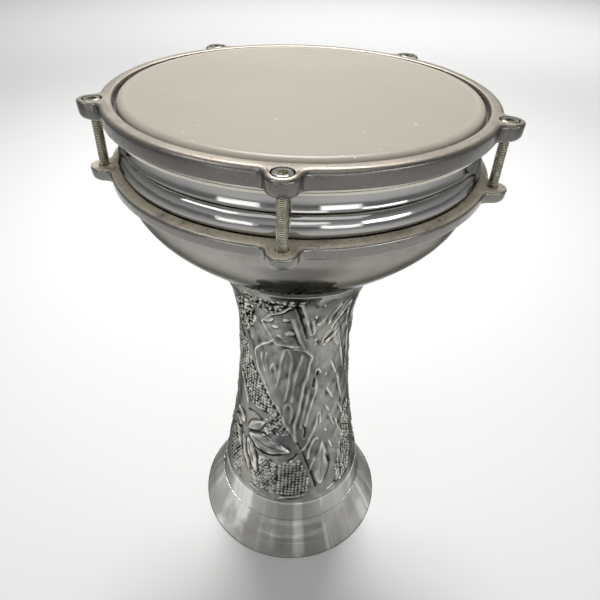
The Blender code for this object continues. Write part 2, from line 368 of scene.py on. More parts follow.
def addCamera():
    pitch, yaw, roll = (math.radians(photoView[k]) for k in ("pitchDown", "yawRight", "roll"))
    forward = Vector((math.sin(yaw) * math.cos(pitch), math.cos(yaw) * math.cos(pitch), -math.sin(pitch)))
    right = forward.cross(Vector((0, 0, 1))).normalized()
    up = right.cross(forward)
    xAxis = right * math.cos(roll) + up * math.sin(roll)
    yAxis = up * math.cos(roll) - right * math.sin(roll)
    turn = Matrix((xAxis, yAxis, -forward)).transposed().to_4x4()
    data = bpy.data.cameras.new("photoCamera")
    data.sensor_width = photoView["sensorWidth"]
    data.lens = photoView["focalPixels"] / photoView["imagePixels"] * photoView["sensorWidth"]
    data.clip_start = photoView["nearest"]
    camera = bpy.data.objects.new("photoCamera", data)
    bpy.context.scene.collection.objects.link(camera)
    camera.matrix_world = Matrix.Translation(photoView["place"]) @ turn
    bpy.context.scene.camera = camera
    print("camera placed, lens", round(data.lens, 3))


# shared shader effects, with scales in marks per metre

turnedSet = {"fineness": 900.0, "streakScale": 120.0, "streakFrom": (0.4, 0.65)}


def turnedLinesGroup():
    # fine marks left round the axis by spinning and polishing
    group, start, end = newGroup("turnedLines", {"Fineness": turnedSet["fineness"]}, ["Height", "Streak"])
    x, y, z = splitAxes(objectPoint(group))
    profile = addNode(group, "CombineXYZ")
    radius = calc("SQRT", plus(times(x, x), times(y, y)), 0)
    wire(radius, profile.inputs["X"])
    wire(z, profile.inputs["Z"])
    wire(noise(group, start["Fineness"], 3.0, 0.65, profile.outputs[0]), end["Height"])
    broad = noise(group, turnedSet["streakScale"], 2.0, 0.5, profile.outputs[0])
    wire(remap(broad, *turnedSet["streakFrom"]), end["Streak"])
    return group


smudgeSet = {"cloudScale": 14.0, "cloudFrom": (0.42, 0.68), "scratchScale": 60.0, "scratchFrom": (0.64, 0.74),
             "scratchTurn": (0.4, 0.7, 0.3), "scratchStretch": (1.0, 14.0, 14.0)}


def smudgeGroup():
    # handling marks: soft cloudy patches and thin random scratches
    scales = {"Cloud Scale": smudgeSet["cloudScale"], "Scratch Scale": smudgeSet["scratchScale"]}
    group, start, end = newGroup("smudges", scales, ["Cloud", "Scratch"])
    cloud = noise(group, start["Cloud Scale"], 5.0, 0.6, distortion=0.6)
    wire(remap(cloud, *smudgeSet["cloudFrom"]), end["Cloud"])
    drawn = stretched(group, smudgeSet["scratchStretch"], smudgeSet["scratchTurn"])
    scratch = noise(group, start["Scratch Scale"], 2.0, 0.4, drawn)
    wire(remap(scratch, *smudgeSet["scratchFrom"]), end["Scratch"])
    return group


skinSet = {"grain": 900.0, "broadScale": 70.0, "pitScale": 380.0, "pitSize": (0.20, 0.08), "patchScale": 40.0,
           "patchFrom": (0.56, 0.66), "mottleScale": 180.0, "mottleFrom": (0.38, 0.66)}


def castSkinGroup():
    # sand-cast skin: fine grain, larger unevenness and a few pits
    group, start, end = newGroup("castSkin", {"Grain": skinSet["grain"]}, ["Height", "Pits", "Mottle"])
    fine = noise(group, start["Grain"], 5.0, 0.65)
    wire(plus(fine, noise(group, skinSet["broadScale"], 3.0)), end["Height"])
    pits = remap(cellNoise(group, skinSet["pitScale"])["Distance"], *skinSet["pitSize"])
    few = remap(noise(group, skinSet["patchScale"], 2.0), *skinSet["patchFrom"])
    wire(times(pits, few), end["Pits"])
    mottle = noise(group, skinSet["mottleScale"], 6.0, 0.7)
    wire(remap(mottle, *skinSet["mottleFrom"]), end["Mottle"])
    return group


streakSet = {"count": 4.0, "paintedGlintFrom": (0.44, 0.68), "breakScale": 34.0, "breakFrom": (0.34, 0.60)}


def streakGroup():
    # broken pale streaks which run along the wall: their pale colour is a painted reflection, their height a
    # ripple of the wall
    group, start, end = newGroup("ripplesAndPaintedStreaks", {"Count": streakSet["count"]}, ["Height", "PaintedGlint"])
    around = addNode(group, "VectorMath", operation="NORMALIZE")
    wire(stretched(group, (1.0, 1.0, 0.0)), around.inputs[0])
    streak = noise(group, start["Count"], 3.5, 0.6, around.outputs[0])
    wire(streak, end["Height"])
    broken = remap(noise(group, streakSet["breakScale"], 3.0), *streakSet["breakFrom"])
    wire(times(remap(streak, *streakSet["paintedGlintFrom"]), broken), end["PaintedGlint"])
    return group


turnedLines = turnedLinesGroup()
smudges = smudgeGroup()
ripplesAndPaintedStreaks = streakGroup()
castSkin = castSkinGroup()


# finishes

polish = {"fineness": 1100.0, "cloudDull": 0.5, "streakDull": 0.35, "dullFrom": (0.0, 1.4), "waveScale": 26.0,
          "waveHeight": 3.0, "lineHeight": 0.12, "bump": (0.35, 0.0008)}
# in both polished finishes the upper colour, above the given height, is painted light, and the plain colour
# below it painted shade
bowlFinish = {"color": (0.47, 0.458, 0.43), "cloudColor": (0.31, 0.293, 0.26), "roughness": (0.06, 0.18),
              "paintedLightUpperColor": (0.54, 0.535, 0.525), "paintedLightUpperFrom": (0.368, 0.374), "ripple": 0.6, "streak": 0.2,
              # the streak colour is a painted reflection
              "streakColor": (0.66, 0.65, 0.62), "edgeTint": (0.2, 0.2, 0.19, 1.0)}
footFinish = {"color": (0.41, 0.405, 0.39), "cloudColor": (0.31, 0.30, 0.28), "roughness": (0.06, 0.20),
              "paintedLightUpperColor": (0.56, 0.55, 0.53), "paintedLightUpperFrom": (0.030, 0.046), "ripple": 2.4, "streak": 0.9,
              # the streak colour is a painted reflection
              "streakColor": (0.90, 0.89, 0.86), "edgeTint": (0.3, 0.3, 0.29, 1.0)}


def polishedMetal(name, finish):
    finish = {**polish, **finish}
    material, tree, shader = newTree(name, Metallic=1.0, Specular_Tint=finish["edgeTint"])
    lines = useGroup(tree, turnedLines, Fineness=finish["fineness"])
    marks = useGroup(tree, smudges)
    streaks = useGroup(tree, ripplesAndPaintedStreaks)
    tint = blendColor(marks["Cloud"], finish["color"], finish["cloudColor"])
    level = splitAxes(objectPoint(tree))[2]
    paintedLightUpper = remap(level, *finish["paintedLightUpperFrom"])      # the part above is painted brighter and the part below darker: painted light and painted shade
    tint = blendColor(paintedLightUpper, tint, finish["paintedLightUpperColor"])
    # the pale streaks are a painted reflection
    tint = blendColor(times(streaks["PaintedGlint"], finish["streak"]), tint, finish["streakColor"])
    dull = plus(times(marks["Cloud"], finish["cloudDull"]), marks["Scratch"])
    dull = plus(dull, times(lines["Streak"], finish["streakDull"]))
    rough = remap(dull, *finish["dullFrom"], *finish["roughness"])
    wave = times(noise(tree, finish["waveScale"], 2.0), finish["waveHeight"])
    wave = plus(wave, times(streaks["Height"], finish["ripple"]))
    height = plus(times(lines["Height"], finish["lineHeight"]), wave)
    paint(shader, tint, rough, height, *finish["bump"])
    return material


casting = {"upwardFrom": (0.55, 0.9), "wornSide": 0.15, "wornTop": 0.3, "grimeScale": 60.0,
           "grimeFrom": (0.26, 0.52), "gritScale": 700.0, "gritFrom": (0.60, 0.68), "cloudRough": 0.6,
           "dullFrom": (0.0, 1.6), "skinSide": 0.4, "skinTop": 0.6, "bump": (0.3, 0.0004)}
# the lighter top colour and the darker side colour are partly the real skin and file finish and partly
# painted light and shade
hoopFinish = {"side": (0.225, 0.217, 0.203), "top": (0.46, 0.415, 0.355), "dark": (0.27, 0.24, 0.20),
              "pitColor": (0.08, 0.068, 0.055), "sideRoughness": (0.20, 0.34), "topRoughness": (0.36, 0.52),
              "dustAndPaintedLightColor": (0.46, 0.40, 0.33), "dust": 0.25, "grit": 0.15}
# the ring's pale top and dust colours are real dust and also painted light, where the hoop shades the ring's
# top
ringFinish = {"side": (0.31, 0.30, 0.28), "top": (0.58, 0.535, 0.45), "dark": (0.30, 0.288, 0.24),
              "pitColor": (0.07, 0.058, 0.045), "sideRoughness": (0.18, 0.32), "topRoughness": (0.38, 0.55),
              "dustAndPaintedLightColor": (0.74, 0.66, 0.52), "dust": 0.95, "grit": 0.6}


def castMetal(name, finish):
    # faces that look up keep the sandy skin and gather dust, the sides are filed smoother; the tops are also
    # painted lighter and the sides darker, painted light and painted shade
    finish = {**casting, **finish}
    material, tree, shader = newTree(name)
    skin = useGroup(tree, castSkin)
    marks = useGroup(tree, smudges)
    facing = splitAxes(addNode(tree, "TexCoord").outputs["Normal"])[2]
    upward = remap(facing, *finish["upwardFrom"])
    # top and side colours split by facing: partly painted light and painted shade
    tint = blendColor(upward, finish["side"], finish["top"])
    worn = plus(times(upward, finish["wornTop"]), finish["wornSide"])
    tint = blendColor(times(skin["Mottle"], worn), tint, finish["dark"])
    # dust on upward faces; on the ring its pale colour is also painted light
    grime = remap(noise(tree, finish["grimeScale"], 5.0, 0.6), *finish["grimeFrom"])
    dust = times(times(grime, upward), finish["dust"])
    tint = blendColor(dust, tint, finish["dustAndPaintedLightColor"])
    tint = blendColor(skin["Pits"], tint, finish["pitColor"])
    grit = remap(noise(tree, finish["gritScale"], 2.0), *finish["gritFrom"])
    grit = times(times(grit, upward), finish["grit"])
    tint = blendColor(grit, tint, finish["pitColor"])
    wire(calc("SUBTRACT", 1.0, dust), shader.inputs["Metallic"])
    dull = plus(skin["Mottle"], times(marks["Cloud"], finish["cloudRough"]))
    sideRough = remap(dull, *finish["dullFrom"], *finish["sideRoughness"])
    topRough = remap(dull, *finish["dullFrom"], *finish["topRoughness"])
    rough = plus(sideRough, times(upward, calc("SUBTRACT", topRough, sideRough)))
    height = calc("SUBTRACT", skin["Height"], skin["Pits"])
    height = times(height, plus(times(upward, finish["skinTop"]), finish["skinSide"]))
    paint(shader, tint, rough, height, *finish["bump"])
    return material


drawnFinish = {"color": (0.80, 0.76, 0.68), "streakColor": (0.56, 0.52, 0.45), "roughness": (0.15, 0.28),
               "fineness": 1600.0, "dullFrom": (0.3, 0.7), "bump": (0.2, 0.0002)}


def drawnMetal():
    finish = drawnFinish
    material, tree, shader = newTree("drawnAluminium", Metallic=1.0)
    lines = useGroup(tree, turnedLines, Fineness=finish["fineness"])
    tint = blendColor(lines["Streak"], finish["color"], finish["streakColor"])
    rough = remap(lines["Height"], *finish["dullFrom"], *finish["roughness"])
    paint(shader, tint, rough, lines["Height"], *finish["bump"])
    return material


chasedFinish = {
    "flat": (0.40, 0.395, 0.37),
    # a darker colour for painted reflection patches on the flats
    "paintedReflectionDark": (0.25, 0.26, 0.255),
    "recess": (0.05, 0.047, 0.04),
    # the high colour is rubbed wear and a painted highlight
    "high": (0.90, 0.865, 0.775),
    "plain": (0.50, 0.495, 0.475),
    # the streak colour: painted reflection streaks on the plain bands
    "streakColor": (0.90, 0.89, 0.86),
    "edgeTint": (0.2, 0.2, 0.19, 1.0),
    "deepFrom": (0.56, 0.92),
    "rubbedAndHighlightFrom": (0.42, 0.08),
    "paintedReflectionScale": 52.0,
    "paintedReflectionStretch": (1.0, 1.0, 0.6),
    "paintedReflectionFrom": (0.38, 0.60),
    "rubbedScale": 75.0,
    "rubbed": (0.36, 0.58, 0.55, 1.0),
    "deepDull": 0.8,
    "cloudDull": 0.4,
    "dullFrom": (0.0, 1.2),
    "roughness": (0.06, 0.30),
    "grainScale": 420.0,
    "lineHeight": 0.3,
    "bump": (0.12, 0.0004),
}


def chasedMetal():
    finish = chasedFinish
    material, tree, shader = newTree("chasedAluminium", Metallic=1.0, Specular_Tint=finish["edgeTint"])
    recess = addNode(tree, "Attribute", attribute_name="recess").outputs["Fac"]
    chased = addNode(tree, "Attribute", attribute_name="chased").outputs["Fac"]
    marks = useGroup(tree, smudges)
    lines = useGroup(tree, turnedLines, Fineness=polish["fineness"])
    streaks = useGroup(tree, ripplesAndPaintedStreaks)
    deep = remap(recess, *finish["deepFrom"])
    high = remap(recess, *finish["rubbedAndHighlightFrom"])
    # the darker patches, stretched up the stem, are painted reflections
    paintedReflectionPatches = noise(tree, finish["paintedReflectionScale"], 3.0, 0.55, stretched(tree, finish["paintedReflectionStretch"]))
    tint = blendColor(remap(paintedReflectionPatches, *finish["paintedReflectionFrom"]), finish["flat"], finish["paintedReflectionDark"])
    tint = blendColor(deep, tint, finish["recess"])
    # ridges and dot tips take the high colour, broken by noise: rubbed wear and painted highlight
    rubbed = remap(noise(tree, finish["rubbedScale"], 2.0), *finish["rubbed"])
    tint = blendColor(times(high, rubbed), tint, finish["high"])
    # the plain bands get the same painted reflection streaks
    plain = blendColor(streaks["PaintedGlint"], finish["plain"], finish["streakColor"])
    tint = blendColor(chased, plain, tint)
    dull = plus(times(deep, finish["deepDull"]), times(marks["Cloud"], finish["cloudDull"]))
    rough = remap(dull, *finish["dullFrom"], *finish["roughness"])
    height = plus(noise(tree, finish["grainScale"], 3.0), times(lines["Height"], finish["lineHeight"]))
    paint(shader, tint, rough, height, *finish["bump"])
    return material


filmFinish = {
    "color": (0.555, 0.51, 0.425),
    "cloudColor": (0.52, 0.476, 0.396),
    "cloudScale": 9.0,
    "cloudFrom": (0.3, 0.7),
    "speckColor": (0.82, 0.81, 0.78),
    "specks": ((150.0, 0.16, 0.78), (30.0, 0.060, 0.66)),     # cells per metre, size, rarity
    "speckCore": 0.2,
    "rarityStep": 0.1,
    "scuffColor": (0.24, 0.22, 0.19),
    "scuffTurns": (0.5, 2.1),
    "scuffScale": 22.0,
    "scuffStretch": (1.0, 26.0, 1.0),
    "scuffFrom": (0.72, 0.80),
    "scuffTint": 0.12,
    "scuffDull": 0.3,
    "dullFrom": (0.0, 1.3),
    "roughness": (0.34, 0.48),
    "gloss": 0.5,
    "coat": 0.06,
    "coatRoughness": 0.2,
    "frostScale": 2200.0,
    "bump": (0.06, 0.0002),
}


def frostedFilm():
    # matt film with rubbed patches, white specks and a few fine straight scuffs
    finish = filmFinish
    material, tree, shader = newTree("frostedFilm", Specular_IOR_Level=finish["gloss"],
                                     Coat_Weight=finish["coat"], Coat_Roughness=finish["coatRoughness"])
    cloud = remap(noise(tree, finish["cloudScale"], 4.0), *finish["cloudFrom"])
    tint = blendColor(cloud, finish["color"], finish["cloudColor"])
    for scale, size, rarity in finish["specks"]:
        cells = cellNoise(tree, scale)
        pickOne = addNode(tree, "SeparateColor")
        wire(cells["Color"], pickOne.inputs[0])
        small = remap(cells["Distance"], size, size * finish["speckCore"])
        rare = remap(pickOne.outputs["Red"], rarity, rarity + finish["rarityStep"])
        specks = times(small, rare)
        tint = blendColor(specks, tint, finish["speckColor"])
    rubbed = cloud
    for turn, color in zip(finish["scuffTurns"], (finish["scuffColor"], finish["speckColor"])):
        drawn = stretched(tree, finish["scuffStretch"], (0.0, 0.0, turn))
        scuff = remap(noise(tree, finish["scuffScale"], 0.0, 0.4, drawn), *finish["scuffFrom"])
        tint = blendColor(times(scuff, finish["scuffTint"]), tint, color)
        rubbed = plus(rubbed, times(scuff, finish["scuffDull"]))
    rough = remap(rubbed, *finish["dullFrom"], *finish["roughness"])
    paint(shader, tint, rough, noise(tree, finish["frostScale"], 3.0), *finish["bump"])
    return material


# the root colour darkens the thread's root: painted shade, with some dirt
zincFinish = {"color": (0.82, 0.80, 0.71), "dull": (0.62, 0.60, 0.50), "root": (0.10, 0.093, 0.07),
              "roughness": (0.14, 0.30), "patchScale": 260.0, "patchFrom": (0.35, 0.7),
              "rootFrom": (0.50, 1.00), "rootDull": 0.6, "dullFrom": (0.0, 1.2), "grainScale": 1500.0,
              "bump": (0.1, 0.0002)}


def zincPlate():
    finish = zincFinish
    material, tree, shader = newTree("zincPlate", Metallic=1.0)
    patches = remap(noise(tree, finish["patchScale"], 4.0), *finish["patchFrom"])
    root = addNode(tree, "Attribute", attribute_name="root").outputs["Fac"]
    tint = blendColor(patches, finish["color"], finish["dull"])
    # thread roots darkened: painted shade, with some dirt
    tint = blendColor(remap(root, *finish["rootFrom"]), tint, finish["root"])
    dull = plus(patches, times(root, finish["rootDull"]))
    rough = remap(dull, *finish["dullFrom"], *finish["roughness"])
    paint(shader, tint, rough, noise(tree, finish["grainScale"], 2.0), *finish["bump"])
    return material


# foot: spun flare with a lapped top edge and turned lines

foot = {"topSlope": -0.46, "rimSlope": -0.56, "wall": 2 * mm, "lapRound": 0.2 * mm, "rimRound": 1.0 * mm,
        "lapEdge": 0.3 * mm, "lapTaper": 20 * mm, "lapWall": 0.26 * mm, "rimInset": 0.55,
        "innerFrom": 0.3 * mm, "lines": ((15.5 * mm, 0.16 * mm), (5.5 * mm, 0.06 * mm)),
        "lineWidth": 0.9 * mm, "rows": 90, "innerRows": 24, "arcSteps": 4, "turnSteps": 256}


def footRadius(z):
    rimRadius = boxes["foot_flare"][1].x
    topRadius = stem["endRadius"] + stem["lapGap"] + foot["wall"]
    return hermite((rimRadius, 0.0), (topRadius, footTop), foot["rimSlope"], foot["topSlope"], z)


def footWall(z):
    # outside and thickness: the top edge is spun thin against the stem
    share = max(0.0, 1 - (footTop - z) / foot["lapTaper"])
    share = share ** 2 * (3 - 2 * share)
    thinned = (foot["wall"] + stem["lapGap"] - foot["lapEdge"]) * share
    return footRadius(z) - thinned, foot["wall"] + (foot["lapWall"] - foot["wall"]) * share


def buildFoot():
    outer = []
    for z in steps(footTop - foot["lapRound"], foot["rimRound"], foot["rows"]):
        dip = 0.0
        for level, depth in foot["lines"]:
            dip += depth * math.exp(-((z - level) / foot["lineWidth"]) ** 2)
        outer.append((footWall(z)[0] - dip, z))
    lapCenter = (outer[0][0] - foot["lapRound"], footTop - foot["lapRound"])
    lap = arcPoints(lapCenter, foot["lapRound"], 80, 10, foot["arcSteps"])
    rimCenter = (outer[-1][0] - foot["rimRound"] * foot["rimInset"], foot["rimRound"])
    rim = arcPoints(rimCenter, foot["rimRound"], -10, -90, foot["arcSteps"])
    inner = []
    for z in steps(foot["innerFrom"], footTop, foot["innerRows"]):
        radius, wall = footWall(z)
        inner.append((radius - wall, z))
    return turnPiece("foot_flare_spun", lap + outer + rim + inner, foot["turnSteps"])


# stem: waisted shell, chased with leaves, a tulip and punched grounds

stem = {"endRadius": 71.4 * mm, "waistRadius": 47.2 * mm, "neckRadius": 67 * mm, "waistHeight": 222 * mm,
        "endSlope": -0.215, "neckSlope": 0.66, "wall": 2 * mm, "tail": 10 * mm, "lapGap": 0.4 * mm,
        "columns": 384, "rows": 236, "innerStep": 24, "smoothAngle": 80, "seed": 7, "offSurface": 0.05}

# in millimetres: the chased zone, how it fades in and out, and the mouldings' height, depth and width
chasedZone = {"from": 59.0, "to": 299.0, "fades": (3.0, 4.0),
              "mouldings": ((48.5, 0.15, 0.9), (57.8, 0.9, 1.3))}

# how the hollows are marked for the finish: reach of the blur in rows and columns, and gains
chasedShade = {"reach": (3, 4), "level": 0.5, "gain": 0.85, "dotGain": 2.2, "pitGain": 0.5, "ground": 0.06}


def stemRadius(z):
    waist = (stem["waistRadius"], stem["waistHeight"])
    if z < stem["waistHeight"]:
        return hermite((stem["endRadius"], footTop), waist, stem["endSlope"], 0.0, z)
    return hermite(waist, (stem["neckRadius"], seam), 0.0, stem["neckSlope"], z)


# chased lines as (degrees round from the front, millimetres above the floor)
chasedLines = {
    "outline": (1.0, 0.9, [
        [(-20, 177), (-27, 189), (-31, 198), (-37, 207), (-40, 216), (-42, 226), (-37, 233), (-30, 239.5),
         (-24, 243), (-20, 247.5)],
        [(-20, 247.5), (-17.5, 243.5), (-8, 242.3), (2, 242.5), (9, 240)],
        [(1, 240), (9, 237.5), (14, 233.5), (17, 229.5), (15, 221), (14, 212), (12.5, 205), (10.2, 199),
         (9, 190), (7.2, 180), (6, 170), (4, 160), (2, 150), (3, 136)],
        [(-20, 177), (-14, 171), (-10, 162), (-6, 152), (0, 143), (4, 133)],
        [(12, 151), (15, 164), (19, 177), (22, 188), (23.5, 198), (22.5, 207), (22.5, 213), (25, 214.5),
         (27, 210)],
        [(9, 122), (13, 127), (18, 138), (23, 150), (25.5, 162), (28, 163), (28, 152)],
        [(15, 112), (16, 120), (19, 129), (23, 134), (25.5, 133)],
        [(17, 96), (18.5, 103), (21.5, 110)],
        [(-30, 264), (-25, 270), (-19, 276), (-10, 281), (-4, 288), (-1, 292)],
        [(-30, 264), (-26, 257), (-22, 250)],
        [(4, 292), (7, 280), (11, 266), (13, 258), (15, 254), (17, 258), (14.5, 270)],
        [(-2, 274), (1, 262), (5, 249), (8, 242)],
        [(28, 240), (35, 245), (44, 251)],
    ]),
    "rib": (0.95, 0.6, [
        [(-33, 228), (-33, 219), (-29, 209)],
        [(-27.5, 230), (-29, 219), (-25, 208)],
        [(-22, 205), (-23.5, 213), (-20, 221), (-18, 214)],
        [(-17, 195), (-14, 208), (-12, 225), (-9.5, 235), (-6.5, 238), (-3, 233), (-2.5, 222), (-4, 205),
         (-6, 190), (-8, 180)],
        [(7.5, 231), (5, 220), (1.5, 207), (-0.5, 192), (-1, 180)],
        [(-8, 160), (-8, 170), (-6, 175.5), (-3, 176.5), (-0.5, 172), (-1, 163), (-3, 155)],
        [(8, 150), (12, 172), (15.5, 192)],
    ]),
    "groove": (1.2, -0.75, [
        [(5, 132), (10, 121), (14, 108), (18, 94), (22, 75)],
        [(-2, 111), (2, 114), (5, 118)],
        [(20, 196), (22.5, 205), (24, 211)],
        [(11, 152), (13, 145), (12, 138)],
        [(33, 111), (35, 105), (37, 99)],
        [(30, 244), (36, 249), (43, 254)],
        [(1, 288), (6, 268), (11, 250)],
        [(-47, 210), (-38, 197), (-28, 183), (-23, 179)],
        [(-50, 152), (-40, 155), (-31, 152)],
        [(44, 287), (40, 283), (35, 266), (31, 256)],
    ]),
}

# short chisel strokes, each a slim leaf from its first point to its last
chiselStrokes = {"halfWidth": 1.5, "height": 0.75, "vein": 0.0, "lines": [
    [(25, 241), (42, 281)],
    [(27, 246), (50, 283)],
    [(35, 190), (45, 172)],
    [(39, 219), (48, 200)],
    [(50, 238), (60, 198)],
    [(49, 200), (60, 160)],
    [(53, 162), (62, 136)],
    [(46, 150), (53, 126)],
    [(39, 157), (46, 138)],
    [(63, 246), (69, 186)],
    [(49, 280), (58, 246)],
    [(58, 282), (65, 250)],
    [(33, 208), (35.5, 203)],
    [(32.5, 143), (36, 137)],
    [(34, 170), (39, 160)],
    [(37, 126), (42, 112)],
    [(20, 290), (22.5, 287)],
    [(16, 277), (17.5, 272)],
    [(-62, 69), (-50, 66)],
    [(-38, 67), (-27, 64.5)],
    [(31, 66), (42, 69.5)],
    [(-10, 64), (14, 68)],
]}

# leaves and petals: from, to, half width in mm, height in mm, depth of the vein
chasedLeaves = [
    ((-45, 127), (-1, 121), 11.0, 1.5, 0.7),
    ((-47, 132), (-26, 152), 5.5, 1.1, 0.4),
    ((-53, 133), (-68, 143), 6.0, 1.2, 0.3),
    ((-51, 158), (-67, 187), 5.0, 1.1, 0.3),
    ((-53, 119), (-40, 84), 5.0, 1.3, 0.4),
    ((-46, 121), (-31, 84), 6.0, 1.3, 0.5),
    ((-58, 128), (-76, 122), 6.0, 1.1, 0.4),
    ((26, 76), (30, 128), 9.0, 0.9, 0.5),
    ((-27, 266), (-17, 272), 3.2, 0.9, 0.0),
    ((-20, 262), (-13, 263), 2.8, 0.9, 0.0),
    ((-8, 257), (0, 256), 3.2, 1.0, 0.0),
    ((-10, 271), (-4, 273), 2.8, 0.9, 0.0),
    ((-16, 254), (-10, 250), 2.6, 0.8, 0.0),
    ((30, 262), (37, 285), 3.5, 0.9, 0.3),
    ((47, 232), (40, 262), 5.0, 0.8, 0.4),
]

# punched grounds: step round and up in mm, spread of the punch in mm, height, disorder, outline
punchedGrounds = [
    (3.6, 3.6, 0.95, 1.10, 0.9, [(-46, 303), (10, 303), (6, 292), (-7, 285), (-22, 277), (-32, 283),
                                 (-46, 294)]),
    (3.4, 3.8, 1.00, 1.15, 0.8, [(-68, 245), (-52, 243), (-36, 262), (-36, 285), (-48, 285), (-62, 268)]),
    (3.2, 3.4, 1.00, 1.15, 0.25, [(-80, 234), (-55, 231), (-47, 212), (-37, 198), (-26, 184), (-17, 170),
                                  (-24, 161), (-48, 165), (-60, 187), (-80, 193)]),
    (3.2, 3.4, 0.90, 1.05, 0.4, [(-78, 116), (-62, 120), (-55, 104), (-47, 84), (-50, 68), (-64, 71),
                                 (-78, 88)]),
    (2.8, 3.0, 0.85, 0.95, 0.8, [(-29, 154), (-15, 168), (-7, 151), (0, 141), (-26, 138)]),
    (3.3, 3.3, 1.05, 1.20, 0.15, [(-13, 104), (0, 110), (8, 110), (13, 96), (17, 77), (8, 68), (-11, 67)]),
    (3.0, 3.0, 0.95, 1.00, 0.35, [(-37, 104), (-28, 109), (-14, 105), (-13, 68), (-30, 68), (-38, 80)]),
    (3.4, 3.4, 1.05, 1.15, 0.3, [(41, 67), (60, 67), (72, 105), (72, 150), (63, 152), (54, 122),
                                 (46, 100)]),
    (3.2, 4.6, 1.00, 1.00, 0.2, [(19.5, 243), (23, 243), (22.5, 272), (19.5, 272)]),
]

# vines that fill the strips between the two copies of the design
vines = {"angles": (-90.0, 90.0), "sway": 5.0, "waves": 5.0, "points": 40, "ends": (8.0, 14.0),
         "line": (1.5, 1.0), "leafPitch": 24.0, "leafReach": 9.0, "leafRise": 15.0, "leafEnds": 10.0,
         "leaf": (4.0, 1.1, 0.3)}

# how far each mark is worked out, in its widths, and the smallest radius in mm that it lies on
markReach = {"line": 4.0, "leaf": 1.6, "punch": 2.6, "narrowest": 40.0}

# a leaf's outline, its rim (depth, place and width) and its vein
leafShape = {"tip": 0.8, "full": 0.85, "edge": 1.25, "rim": (0.45, 1.08, 0.12), "veinWidth": 0.9}

# grounds with more disorder have staggered rows, and their dots swell by up to this share of it
punchDrift = {"staggeredFrom": 0.3, "swell": 0.35}


